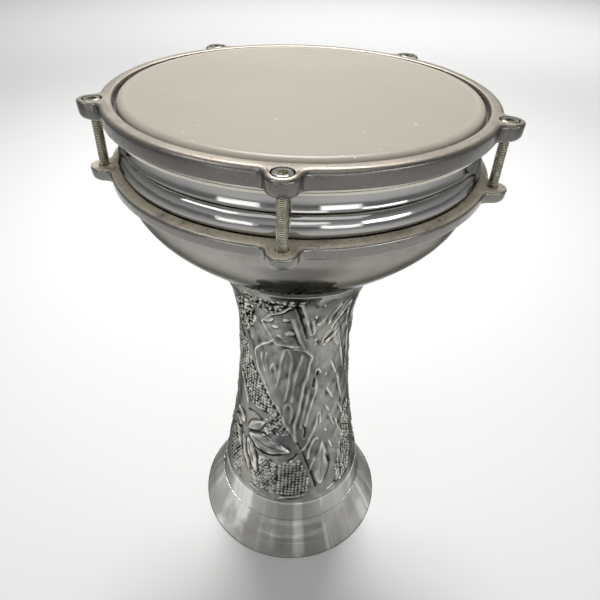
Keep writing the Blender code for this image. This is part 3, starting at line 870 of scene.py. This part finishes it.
class ReliefGrid:
    def __init__(self, angles, heights):
        self.angles = angles
        self.heights = heights
        self.radii = np.array([stemRadius(z * mm) for z in heights]) / mm
        self.relief = np.zeros((len(heights), len(angles)))
        self.ground = np.zeros((len(heights), len(angles)))

    def patch(self, center, lowZ, highZ, reach, halfSpan):
        # the part of the grid round a mark: index, radii, angles from its centre and heights
        rows = np.where((self.heights > lowZ - reach) & (self.heights < highZ + reach))[0]
        turn = (self.angles - center + 180.0) % 360.0 - 180.0
        cols = np.where(np.abs(turn) < halfSpan)[0]
        turn = np.radians(turn[cols])[None, :]
        return np.ix_(rows, cols), self.radii[rows][:, None], turn, self.heights[rows][:, None]

    def raiseLine(self, points, width, height):
        path = smoothPath(points)
        reach = markReach["line"] * width
        center = 0.5 * (path[:, 0].min() + path[:, 0].max())
        halfSpan = 0.5 * np.ptp(path[:, 0]) + math.degrees(reach / markReach["narrowest"])
        spot, radii, turn, z = self.patch(center, path[:, 1].min(), path[:, 1].max(), reach, halfSpan)
        x = turn * radii
        near = np.full(x.shape, 1e9)
        for (a0, z0), (a1, z1) in zip(path, path[1:]):
            x0, x1 = np.radians(a0 - center) * radii, np.radians(a1 - center) * radii
            dx, dz = x1 - x0, z1 - z0
            t = np.clip(((x - x0) * dx + (z - z0) * dz) / (dx * dx + dz * dz + 1e-9), 0, 1)
            near = np.minimum(near, (x - x0 - t * dx) ** 2 + (z - z0 - t * dz) ** 2)
        shape = height * np.exp(-near / (width * width))
        block = self.relief[spot]
        self.relief[spot] = np.maximum(block, shape) if height > 0 else block + shape

    def raiseLeaf(self, start, end, halfWidth, height, vein):
        reach = markReach["leaf"] * halfWidth
        center = 0.5 * (start[0] + end[0])
        halfSpan = 0.5 * abs(end[0] - start[0]) + math.degrees(reach / markReach["narrowest"])
        lowZ, highZ = min(start[1], end[1]), max(start[1], end[1])
        spot, radii, turn, z = self.patch(center, lowZ, highZ, reach, halfSpan)
        x0, x1 = np.radians(start[0] - center) * radii, np.radians(end[0] - center) * radii
        length = np.sqrt((x1 - x0) ** 2 + (end[1] - start[1]) ** 2)
        ux, uz = (x1 - x0) / length, (end[1] - start[1]) / length
        x, z = turn * radii - x0, z - start[1]
        t = (x * ux + z * uz) / length
        side = np.abs(x * uz - z * ux)
        inside = np.clip(t, 0, 1)
        edge = halfWidth * np.sin(math.pi * inside ** leafShape["tip"]) ** leafShape["full"]
        across = side / (edge + 1e-3)
        body = (t > 0) & (t < 1) & (across < leafShape["edge"])
        pillow = height * (1 - np.clip(across, 0, 1) ** 3)
        rimDepth, rimPlace, rimWidth = leafShape["rim"]
        rim = -rimDepth * height * np.exp(-((across - rimPlace) / rimWidth) ** 2)
        crease = -vein * np.exp(-(side / leafShape["veinWidth"]) ** 2) * (inside * (1 - inside) * 4)
        shape = np.where(across < 1, pillow + crease, 0) + rim
        self.relief[spot] = np.where(body, shape, self.relief[spot])

    def punch(self, stepRound, stepUp, spread, height, disorder, outline, draw):
        corners = np.array(outline, float)
        lowA, highA = corners[:, 0].min(), corners[:, 0].max()
        lowZ, highZ = corners[:, 1].min(), corners[:, 1].max()
        middle = 0.5 * (lowA + highA)
        turn = (self.angles - middle + 180.0) % 360.0 - 180.0 + middle
        self.ground[insideOutline(np.meshgrid(turn, self.heights), corners)] = 1.0
        for i, z in enumerate(np.arange(lowZ, highZ, stepUp)):
            radius = np.interp(z, self.heights, self.radii)
            stepAngle = math.degrees(stepRound / radius)
            stagger = 0.5 * stepAngle * (i % 2) * (disorder > punchDrift["staggeredFrom"])
            for a in np.arange(lowA + stagger, highA, stepAngle):
                shift = draw.uniform(-0.5, 0.5, 2) * disorder
                swell = 1 + punchDrift["swell"] * disorder * draw.uniform(-1, 1)
                place = (a + shift[0] * stepAngle, z + shift[1] * stepUp)
                if insideOutline(place, corners):
                    self.punchOne(place, spread, height * swell, radius)

    def punchOne(self, place, spread, height, radius):
        reach = markReach["punch"] * spread
        angle, level = place
        spot, radii, turn, z = self.patch(angle, level, level, reach, math.degrees(reach / radius))
        x, z = turn * radius, z - level
        self.relief[spot] += height * np.exp(-(x * x + z * z) / (spread * spread))


def smoothPath(points, parts=6):
    ends = [points[0]] + list(points) + [points[-1]]
    path = []
    for p0, p1, p2, p3 in zip(ends, ends[1:], ends[2:], ends[3:]):
        p0, p1, p2, p3 = (np.array(p, float) for p in (p0, p1, p2, p3))
        for t in np.arange(parts) / parts:
            bend = 2 * p0 - 5 * p1 + 4 * p2 - p3 + t * (3 * (p1 - p2) + p3 - p0)
            path.append(p1 + 0.5 * t * (p2 - p0 + t * bend))
    path.append(np.array(points[-1], float))
    return np.array(path)


def insideOutline(spot, corners):
    # works on one spot and on whole grids of angles and heights
    across, up = spot
    inside = np.zeros(np.shape(across), bool)
    for (x, y), (x2, y2) in zip(corners, np.roll(corners, -1, 0)):
        inside ^= ((y > up) != (y2 > up)) & (across < (x2 - x) * (up - y) / (y2 - y + 1e-12) + x)
    return inside


def turned(points, angle):
    return [(a + angle, z) for a, z in points]


def chaseRelief(grid):
    draw = np.random.default_rng(stem["seed"])
    stroke = [chiselStrokes[key] for key in ("halfWidth", "height", "vein")]
    for side in (0.0, 180.0):
        for ground in punchedGrounds:
            grid.punch(*ground[:5], turned(ground[5], side), draw)
        for leaf in chasedLeaves:
            grid.raiseLeaf(*turned(leaf[:2], side), *leaf[2:])
        for line in chiselStrokes["lines"]:
            grid.raiseLeaf(*turned(line, side), *stroke)
        for width, height, lines in chasedLines.values():
            for line in lines:
                grid.raiseLine(turned(line, side), width, height)
    for angle in vines["angles"]:
        addVine(grid, angle)


def addVine(grid, angle):
    low, high = chasedZone["from"] + vines["ends"][0], chasedZone["to"] - vines["ends"][1]
    line = []
    for z in np.linspace(low, high, vines["points"]):
        sway = math.sin(vines["waves"] * math.tau * (z - low) / (high - low))
        line.append((angle + vines["sway"] * sway, z))
    grid.raiseLine(line, *vines["line"])
    leafLevels = np.arange(low + vines["leafEnds"], high - vines["leafEnds"], vines["leafPitch"])
    for k, z in enumerate(leafLevels):
        side = 1 if k % 2 else -1
        tip = (angle + side * vines["leafReach"], z + vines["leafRise"])
        grid.raiseLeaf((angle, z), tip, *vines["leaf"])


def blur(field, rowReach, colReach):
    for axis, reach in ((0, rowReach), (1, colReach)):
        total = np.zeros_like(field)
        for k in range(-reach, reach + 1):
            shifted = np.roll(field, k, axis)
            if axis == 0 and k > 0:
                shifted[:k] = field[0]
            if axis == 0 and k < 0:
                shifted[k:] = field[-1]
            total += shifted
        field = total / (2 * reach + 1)
    return field


hammer = {"waves": 28, "around": (5, 26), "length": (14.0, 50.0), "depth": 0.2, "seed": 11}


def hammeredSkin(turn, z):
    # waves that close round the stem, with random lengths, leanings and phases
    draw = np.random.default_rng(hammer["seed"])
    skin = np.zeros_like(z)
    for k in range(hammer["waves"]):
        around = draw.integers(*hammer["around"])
        lean = draw.choice((-1, 1)) * math.tau / draw.uniform(*hammer["length"])
        skin += np.sin(around * turn + lean * z + draw.uniform(0, math.tau))
    return skin * hammer["depth"] * math.sqrt(2 / hammer["waves"])


def reliefGrid(heights):
    angles = np.arange(stem["columns"]) * 360.0 / stem["columns"] - 180.0
    grid = ReliefGrid(angles, heights)
    chaseRelief(grid)
    turn, z = np.meshgrid(np.radians(angles), heights)
    hammered = hammeredSkin(turn, z)
    fadeIn = np.clip((heights - chasedZone["from"]) / chasedZone["fades"][0], 0, 1)
    fade = fadeIn * np.clip((chasedZone["to"] - heights) / chasedZone["fades"][1], 0, 1)
    grid.relief = (grid.relief + hammered) * fade[:, None]
    for height, depth, width in chasedZone["mouldings"]:
        grid.relief -= depth * np.exp(-((heights - height) / width) ** 2)[:, None]
    return grid, np.repeat(fade[:, None], len(angles), 1)


def recessMarks(grid):
    # 1 in the hollows, 0 on the ridges; the punched dots' tips are pushed bright, partly rubbed wear and
    # partly painted highlight
    hollow = blur(grid.relief, *chasedShade["reach"]) - grid.relief
    ground = blur(grid.ground, 1, 1)
    gain = chasedShade["gain"] + ground * np.where(hollow < 0, chasedShade["dotGain"], chasedShade["pitGain"])
    return np.clip(chasedShade["level"] + gain * hollow + chasedShade["ground"] * ground, 0, 1)


def buildStem():
    heights = np.linspace(seam / mm, footTop / mm, stem["rows"])
    outer = [(stemRadius(z * mm), z * mm) for z in heights]
    tailLevels = steps(footTop, footTop - stem["tail"], 2)[1:]
    outline = outer + [(footRadius(z) - foot["wall"] - stem["lapGap"], z) for z in tailLevels]
    inner = [(r - stem["wall"], z) for r, z in outline[::-stem["innerStep"]]]
    piece = turnPiece("stem_shell_chased", outline + inner, stem["columns"], smoothAngle=stem["smoothAngle"])
    grid, fade = reliefGrid(heights[::-1])
    mesh = piece.data
    points = np.zeros(len(mesh.vertices) * 3)
    mesh.vertices.foreach_get("co", points)
    points = points.reshape(-1, 3)
    radius = np.hypot(points[:, 0], points[:, 1])
    row = np.round((points[:, 2] / mm - grid.heights[0]) / np.diff(grid.heights)[0])
    row = np.clip(row, 0, stem["rows"] - 1).astype(int)
    fromFront = np.degrees(np.arctan2(points[:, 0], -points[:, 1]))
    col = np.round((fromFront + 180.0) / 360.0 * stem["columns"]).astype(int) % stem["columns"]
    outside = np.abs(radius / mm - grid.radii[row]) < stem["offSurface"]
    outside &= points[:, 2] > footTop - 1e-6
    slope = np.gradient(grid.radii, grid.heights)[row]
    lean = 1 / np.sqrt(1 + slope * slope)
    lift = np.where(outside, grid.relief[row, col], 0.0) * mm
    points[:, :2] *= (1 + lift * lean / radius)[:, None]
    points[:, 2] -= lift * lean * slope * (outside & (fade[row, col] > 0))
    mesh.vertices.foreach_set("co", points.ravel())
    recess = recessMarks(grid)
    for name, values, plain in (("recess", recess, chasedShade["level"]), ("chased", fade, 0.0)):
        layer = mesh.attributes.new(name, "FLOAT", "POINT")
        layer.data.foreach_set("value", np.where(outside, values[row, col], plain))
    mesh.update()
    return piece


# bowl: spun and polished, with band, bead, collar and the rolled bearing edge

bowl = {"bandRadius": 116.8 * mm, "beadRadius": 119.6 * mm, "collarRadius": 114.2 * mm,
        "bandHeight": 366 * mm, "beadHeight": 380.9 * mm, "collarHeight": 394.1 * mm, "collarFoot": 1.2 * mm,
        "neckSlope": 1.13, "wall": 3 * mm, "sheet": 2 * mm, "edgeRound": 4 * mm, "edgeLip": 1.2 * mm,
        "beadUnder": 3.6 * mm, "beadFull": 0.9, "lap": 10 * mm, "lapGap": 0.4 * mm, "lipRound": 0.9 * mm,
        "gap": 0.3 * mm, "rollInset": 0.2, "rows": 40, "innerEvery": 3, "edgeSteps": 8, "beadSteps": 14,
        "lipSteps": 6, "turnSteps": 288, "smoothAngle": 38}


def bowlRadius(z):
    band = (bowl["bandRadius"], bowl["bandHeight"])
    return hermite((stem["neckRadius"], seam), band, bowl["neckSlope"], 0.0, z)


def buildBowl():
    edge = boxes["bowl_shell"][1].z
    collar, bead = bowl["collarRadius"], bowl["beadRadius"]
    edgeCenter = (collar - bowl["edgeRound"], edge - bowl["edgeRound"])
    lip = [(edgeCenter[0] - bowl["edgeLip"], edge)]
    rounding = arcPoints(edgeCenter, bowl["edgeRound"], 90, 0, bowl["edgeSteps"])
    upright = [(collar, z) for z in steps(rounding[-1][1], bowl["collarHeight"] + bowl["collarFoot"], 4)][1:]
    widest = bowl["beadHeight"] + bowl["beadUnder"]
    beadTop = []
    for a in steps(84, 0, bowl["beadSteps"]):
        reach = (bead - collar) * math.cos(math.radians(a)) ** bowl["beadFull"]
        rise = (bowl["collarHeight"] - widest) * math.sin(math.radians(a))
        beadTop.append((collar + reach, widest + rise))
    under = (bead - bowl["beadUnder"], widest)
    underEnd = math.degrees(math.acos((bowl["bandRadius"] - under[0]) / bowl["beadUnder"]))
    beadUnder = arcPoints(under, bowl["beadUnder"], 0, -underEnd, bowl["lipSteps"])[1:]
    roll, base = bowl["lipRound"], seam + bowl["gap"]
    belly = [(bowlRadius(z), z) for z in steps(bowl["bandHeight"], base + 2 * roll, bowl["rows"])]
    rollCenter = (belly[-1][0] - bowl["rollInset"] * roll, base + roll)
    lowerLip = arcPoints(rollCenter, roll, 20, -90, bowl["lipSteps"])
    inset = stem["wall"] + bowl["lapGap"]
    spigot = [(stemRadius(z) - inset, z) for z in steps(base, seam - bowl["lap"], 3)]
    outer = lip + rounding + upright + beadTop + beadUnder + belly + lowerLip + spigot
    inner = [(r - bowl["sheet"], z) for r, z in reversed(spigot[1:])]
    inner += [(r - bowl["wall"], z) for r, z in belly[-2::-bowl["innerEvery"]]]
    inner += [(collar - bowl["sheet"], bowl["beadHeight"])]
    inner += arcPoints(edgeCenter, bowl["edgeRound"] - bowl["sheet"], 0, 90, 4)
    inner += [(lip[0][0], edge - bowl["sheet"])]
    return turnPiece("bowl_shell_polished", outer + inner, bowl["turnSteps"], smoothAngle=bowl["smoothAngle"])


# castings: hoop and lower ring, both with five lugs

lug = {"radius": 9 * mm, "fillet": 6 * mm, "lugSteps": 24, "filletSteps": 10, "ringSteps": 62,
       "topSteps": 6, "lowSteps": 7, "boreSteps": 4, "topShares": (0.35, 0.7), "lowShare": 0.4,
       "past": 2 * mm, "cutterSteps": 48, "smoothAngle": 40}


def unit(angle):
    return Vector((math.cos(angle), math.sin(angle)))


def lugOutline(radius):
    # (point, outward normal) stations: from a lug's tip to the plain ring, along it, and mirrored
    reach, span = radius + lug["fillet"], lug["radius"] + lug["fillet"]
    spread = math.acos((reach ** 2 + screwCircle ** 2 - span ** 2) / (2 * reach * screwCircle))
    hollow = reach * unit(spread)
    toLug = math.atan2(-hollow.y, screwCircle - hollow.x)
    tip = Vector((screwCircle, 0))
    lugTurn = steps(0.0, toLug + math.pi, lug["lugSteps"] // 2)
    half = [(tip + lug["radius"] * unit(a), unit(a)) for a in lugTurn]
    filletTurn = steps(toLug, spread - math.pi, lug["filletSteps"])[1:]
    half += [(hollow + lug["fillet"] * unit(a), -unit(a)) for a in filletTurn]
    plainTurn = steps(spread, math.tau / len(lugAngles) - spread, lug["ringSteps"])[1:-1]
    plain = [(radius * unit(a), unit(a)) for a in plainTurn]
    mirrored = [(Vector((p.x, -p.y)), Vector((n.x, -n.y))) for p, n in reversed(half[1:])]
    stations = []
    for angle in lugAngles:
        turn = Matrix.Rotation(angle, 2)
        stations += [(turn @ p, turn @ n) for p, n in mirrored + half + plain]
    return stations


def castLoops(stations, bore, skirt, top, base, edges):
    # loops run over the top from the bore, down the outside and back under
    plainReach = min(p.length for p, n in stations)
    lugReach = max(p.length for p, n in stations)
    loops = []

    def ringLoop(radius, z):
        loops.append([(*(p.normalized() * radius), z) for p, n in stations])

    def edgeLoop(level, angle, key, draft):
        # the rounding grows towards the lugs' tips and wanders a little, as filed by hand
        c, s = math.cos(math.radians(angle)), math.sin(math.radians(angle))
        loop = []
        for p, n in stations:
            lugShare = (p.length - plainReach) / (lugReach - plainReach)
            phase = math.atan2(p.y, p.x)
            filed = 1 + edges["filed"] * (math.sin(3 * phase + 1) + math.sin(7 * phase))
            radius = (edges[key] + (edges[key + "Lug"] - edges[key]) * lugShare) * filed
            height = level - radius * (1 - s) if key == "top" else level + radius * (1 + s)
            loop.append((*(p - n * (radius * (1 - c) + draft)), height))
        loops.append(loop)

    def faceLoop(innerRadius, inset, share, z):
        loops.append([(*(p.normalized() * innerRadius).lerp(p - n * inset, share), z) for p, n in stations])

    boreRound = edges["bore"]
    if skirt > bore:
        ringLoop(bore, top - edges["lip"])
    for x, z in arcPoints((bore + boreRound, top - boreRound), boreRound, 180, 90, lug["boreSteps"]):
        ringLoop(x, z)
    for share in lug["topShares"]:
        faceLoop(bore + boreRound, edges["topLug"], share, top)
    for angle in steps(90, 0, lug["topSteps"]):
        edgeLoop(top, angle, "top", 0.0)
    for angle in steps(0, -90, lug["lowSteps"]):
        edgeLoop(base, angle, "low", edges["draft"])
    faceLoop(skirt + edges["burr"], edges["lowLug"], lug["lowShare"], base)
    ringLoop(skirt + edges["burr"], base)
    ringLoop(skirt, base + edges["burr"])
    if skirt > bore:
        ringLoop(skirt, top - edges["lip"])
    return loops


def buildCasting(name, node, cast):
    low, high = boxes[node]
    stations = lugOutline(cast["radius"])
    loops = castLoops(stations, cast["bore"], cast["skirt"], high.z, low.z, cast["edges"])
    piece = loftLoops(name, loops)
    hole, mouth, past = cast["hole"], cast["mouth"], lug["past"]
    outline = [(0, high.z + past), (mouth + cast["chamfer"] + past, high.z + past),
               (mouth, high.z - cast["chamfer"])]
    if mouth > hole:
        outline += [(mouth, high.z - cast["mouthDepth"]), (hole, high.z - cast["mouthDepth"])]
    outline += [(hole, low.z - past), (0, low.z - past)]
    cutters = []
    for place in screwPlaces:
        cutter = turnPiece("lugCutter", outline, lug["cutterSteps"], closed=False)
        cutters.append(placeMesh(cutter, (place.x, place.y, 0)))
    boolean(piece, joinPieces(cutters, "lugCutters"), "DIFFERENCE")
    faceOutward(piece, cutWeld)
    smoothPiece(piece, lug["smoothAngle"])
    return piece


# the hoop steps out to a skirt below its lip, and its lugs are counterbored for the screws' heads
hoop = {"radius": 125 * mm, "bore": 116.6 * mm, "skirt": 119.7 * mm, "hole": 3.4 * mm, "mouth": 5.8 * mm,
        "mouthDepth": 6.3 * mm, "chamfer": 0.35 * mm,
        "edges": {"bore": 1.5 * mm, "top": 2.8 * mm, "topLug": 1.7 * mm, "low": 1.4 * mm,
                  "lowLug": 4.4 * mm, "draft": 0.3 * mm, "lip": 4.5 * mm, "burr": 0.4 * mm, "filed": 0.1}}
ring = {"radius": 125.2 * mm, "bore": 117.6 * mm, "skirt": 117.6 * mm, "hole": 3.25 * mm, "mouth": 3.25 * mm,
        "chamfer": 0.5 * mm,
        "edges": {"bore": 0.7 * mm, "top": 2.6 * mm, "topLug": 1.7 * mm, "low": 1.4 * mm,
                  "lowLug": 3.6 * mm, "draft": 0.3 * mm, "burr": 0.4 * mm, "filed": 0.1}}


# flesh hoop and film

flesh = {"inner": 115.2 * mm, "outer": 119.4 * mm, "round": 0.9 * mm, "ledgeHeight": 2 * mm,
         "ledgeDepth": 1.6 * mm, "grooveDepth": 0.35 * mm, "turnSteps": 256,
         "grooveLevels": (3.2 * mm, 2.9 * mm, 2.5 * mm, 2.2 * mm)}


def buildFleshHoop():
    low, high = boxes["flesh_hoop"]
    r = flesh["round"]
    topRound = arcPoints((flesh["outer"] - r, high.z - r), r, 90, 0, 3)
    lowRound = arcPoints((flesh["outer"] - r, low.z + r), r, 0, -90, 4)
    grooveFloor = flesh["outer"] - flesh["grooveDepth"]
    grooveRadii = (flesh["outer"], grooveFloor, grooveFloor, flesh["outer"])
    groove = [(radius, low.z + level) for radius, level in zip(grooveRadii, flesh["grooveLevels"])]
    ledge, ledgeTop = flesh["inner"] + flesh["ledgeDepth"], low.z + flesh["ledgeHeight"]
    inside = [(ledge, low.z), (ledge, ledgeTop), (flesh["inner"], ledgeTop), (flesh["inner"], high.z)]
    return turnPiece("flesh_hoop_drawn", topRound + groove + lowRound + inside, flesh["turnSteps"])


film = {"outer": 114.9 * mm, "inner": 114.5 * mm, "round": 4.7 * mm, "thickness": 0.4 * mm,
        "flangeReach": 1.3 * mm, "proud": 0.8 * mm, "ridge": 0.35 * mm, "ridgeWidth": 1.3 * mm,
        "flatSteps": 12, "ridgeSteps": 10, "backSteps": 6, "turnSteps": 256}


def buildFilm():
    low, top = boxes["drum_head"][0], boxes["drum_head"][1].z + film["proud"]
    center = (film["outer"] - film["round"], top - film["round"])
    ridgeFrom = center[0] - 4 * film["ridgeWidth"]
    flatEnd = ridgeFrom - film["ridgeWidth"]
    flat = [(r, top - film["ridge"]) for r in steps(0.0, flatEnd, film["flatSteps"])]
    for r in steps(ridgeFrom, center[0], film["ridgeSteps"])[:-1]:
        crown = math.exp(-((r - center[0]) / film["ridgeWidth"]) ** 2)
        flat.append((r, top - film["ridge"] * (1 - crown)))
    shoulder = arcPoints(center, film["round"], 90, 0, film["ridgeSteps"])
    flange, flangeTop = film["inner"] + film["thickness"] + film["flangeReach"], low.z + film["thickness"]
    skirt = [(film["outer"], flangeTop), (flange, flangeTop), (flange, low.z), (film["inner"], low.z)]
    back = arcPoints(center, film["round"] - film["thickness"], 0, 90, film["backSteps"])
    underside = top - film["ridge"] - film["thickness"]
    back += [(ridgeFrom, underside), (0.0, underside)]
    return turnPiece("drum_head_film", flat + shoulder + skirt + back, film["turnSteps"], closed=False)


# socket-head screws with a real thread

screw = {"pitch": 1 * mm, "crest": 3 * mm, "root": 2.42 * mm, "headRadius": 5 * mm, "headHeight": 6 * mm,
         "headRound": 0.5 * mm, "socketWidth": 5 * mm, "socketDepth": 3 * mm, "sink": 0.5 * mm,
         "threadWeld": 0.01 * mm, "cutSnap": 0.0001 * mm, "runOut": 2, "threadSteps": 24, "headSteps": 48,
         "smoothAngle": 32}

# one turn of thread: share of its depth, share of its pitch
threadTurn = [(0, 0.0), (0, 0.12), (1, 0.42), (1, 0.58), (0, 0.88), (0, 1.0)]


def buildThread(bottom, top):
    p, rise = screw["pitch"], screw["crest"] - screw["root"]
    # half a step off, so that no point lies in a cutting plane
    start = bottom - (screw["runOut"] + 0.5 / screw["threadSteps"]) * p
    outline = [(screw["root"] + rise * depth, start + p * share) for depth, share in threadTurn]
    thread = drawOutline("thread", outline, False)
    bpy.ops.object.mode_set(mode="OBJECT")
    wind = thread.modifiers.new("wind", "SCREW")
    wind.axis = "Z"
    wind.angle = math.tau
    wind.screw_offset = p
    wind.iterations = math.ceil((top - bottom) / p) + 2 * screw["runOut"]
    wind.steps = wind.render_steps = screw["threadSteps"]
    applyModifier(thread, wind)
    editAll(thread)
    bpy.ops.mesh.remove_doubles(threshold=screw["threadWeld"])
    for level, keepAbove in ((bottom, True), (top, False)):
        bpy.ops.mesh.select_all(action="SELECT")
        bpy.ops.mesh.bisect(plane_co=(0, 0, level), plane_no=(0, 0, 1), use_fill=True,
                            clear_inner=keepAbove, clear_outer=not keepAbove, threshold=screw["cutSnap"])
    faceOutward(thread, cutWeld)
    return thread


def buildScrew():
    low, high = boxes["tension_screw_1"]
    head, r = screw["headRadius"], screw["headRound"]
    under = high.z - screw["headHeight"]
    outline = [(0, high.z)] + arcPoints((head - r, high.z - r), r, 90, 0, 4) + [(head, under), (0, under)]
    body = turnPiece("screw", outline, screw["headSteps"], closed=False)
    across = screw["socketWidth"] / 2 / math.cos(math.pi / 6)
    socket = newPiece("socket", bpy.ops.mesh.primitive_cylinder_add, vertices=6, radius=across,
                      depth=2 * screw["socketDepth"], location=(0, 0, high.z))
    bpy.ops.object.transform_apply(location=True, rotation=True, scale=True)
    boolean(body, socket, "DIFFERENCE")
    boolean(body, buildThread(low.z, under + screw["sink"]), "UNION")
    faceOutward(body, cutWeld)
    smoothPiece(body, screw["smoothAngle"])
    layer = body.data.attributes.new("root", "FLOAT", "POINT")      # 1 in the thread's root, 0 at its crest; it steers the painted shade of the root
    for vert, mark in zip(body.data.vertices, layer.data):
        depth = (screw["crest"] - vert.co.xy.length) / (screw["crest"] - screw["root"])
        mark.value = min(max(depth, 0.0), 1.0) if vert.co.z < under else 0.0
    return body


# stage: round pale floor, soft boxes behind and in front, and a room that dims upwards

floorSet = {"color": (0.82, 0.82, 0.815, 1.0), "roughness": 0.9, "gloss": 0.1, "reach": 12.0, "sides": 128}


def buildFloor():
    material = newTree("paleFloor", Roughness=floorSet["roughness"], Specular_IOR_Level=floorSet["gloss"],
                       Base_Color=floorSet["color"])[0]
    floor = newPiece("paleFloor", bpy.ops.mesh.primitive_circle_add, vertices=floorSet["sides"],
                     radius=floorSet["reach"], fill_type="NGON")
    floor.data.materials.append(material)


# soft boxes: place, target, width and height in metres, watts, spread in degrees
softBoxes = {
    "overhead": ((-0.05, 1.20, 2.10), (0.0, 0.30, 0.0), (0.80, 0.62), 8.0, 74),
    "topFront": ((0.0, -1.05, 1.55), (0.0, -0.1, 0.4), (2.2, 0.8), 3.6, 180),
    "background": ((0.45, 2.10, 3.40), (0.38, 2.80, 0.0), (3.6, 1.6), 49.0, 98),
    "frontLeft": ((-1.00, -0.63, 1.20), (0.0, 0.0, 0.35), (0.7, 0.35), 1.6, 180),
    "frontRight": ((1.15, -0.96, 0.50), (0.0, 0.0, 0.35), (0.7, 0.25), 2.0, 180),
    "front": ((0.10, -1.50, 0.75), (0.0, 0.0, 0.3), (0.7, 0.3), 0.7, 180),
    "lowLeft": ((-0.75, -1.10, 0.28), (0.0, 0.0, 0.2), (0.56, 0.26), 0.8, 180),
    "lowRight": ((0.55, -1.25, 0.30), (0.0, 0.0, 0.2), (0.56, 0.26), 0.8, 180),
}


def addSoftBox(name, place, target, size, watts, spread):
    data = bpy.data.lights.new(name, "AREA")
    data.shape = "RECTANGLE"
    data.size, data.size_y = size
    data.energy = watts
    data.spread = math.radians(spread)
    lamp = bpy.data.objects.new(name, data)
    bpy.context.scene.collection.objects.link(lamp)
    lamp.location = place
    lamp.rotation_euler = (Vector(target) - Vector(place)).to_track_quat("-Z", "Y").to_euler()


room = {"behind": 0.34, "ahead": 0.42, "overhead": 0.16, "fade": (0.05, 0.65), "turn": (0.2, -0.7)}


def buildRoom():
    world = bpy.data.worlds.new("room")
    bpy.context.scene.world = world
    world.use_nodes = True
    tree = world.node_tree
    y, z = splitAxes(addNode(tree, "TexCoord").outputs["Generated"])[1:]
    horizon = remap(y, *room["turn"], room["behind"], room["ahead"])
    climb = remap(z, *room["fade"], 1.0, 0.0)
    glow = times(calc("SUBTRACT", horizon, room["overhead"]), climb)
    wire(plus(glow, room["overhead"]), tree.nodes["Background"].inputs["Color"])


def buildLights():
    buildRoom()
    for name, settings in softBoxes.items():
        addSoftBox(name, *settings)
    bpy.context.scene.view_settings.view_transform = "Standard"
    print("lights:", len(softBoxes), "soft boxes")


addCamera()
dress(buildFoot(), "shell", "foot_flare", polishedMetal("spunAluminium", footFinish))
dress(buildStem(), "shell", "stem_shell", chasedMetal())
mirror = polishedMetal("polishedAluminium", bowlFinish)
dress(buildBowl(), "shell", "bowl_shell", mirror)
lowerRing = buildCasting("lower_lug_ring_cast", "lower_lug_ring", ring)
dress(lowerRing, "shell", "lower_lug_ring", castMetal("castRing", ringFinish))
tensionHoop = buildCasting("tension_hoop_cast", "tension_hoop", hoop)
dress(tensionHoop, "head", "tension_hoop", castMetal("castHoop", hoopFinish))
dress(buildFleshHoop(), "head", "flesh_hoop", drawnMetal())
dress(buildFilm(), "head", "drum_head", frostedFilm())
plate = zincPlate()
pattern = buildScrew()
for number, place in enumerate(screwPlaces, 1):
    twin = placeMesh(copyPiece(pattern, f"tension_screw_{number}_threaded"), (place.x, place.y, 0))
    dress(twin, f"screw_{number}", f"tension_screw_{number}", plate)
bpy.data.objects.remove(pattern, do_unlink=True)
buildFloor()
buildLights()
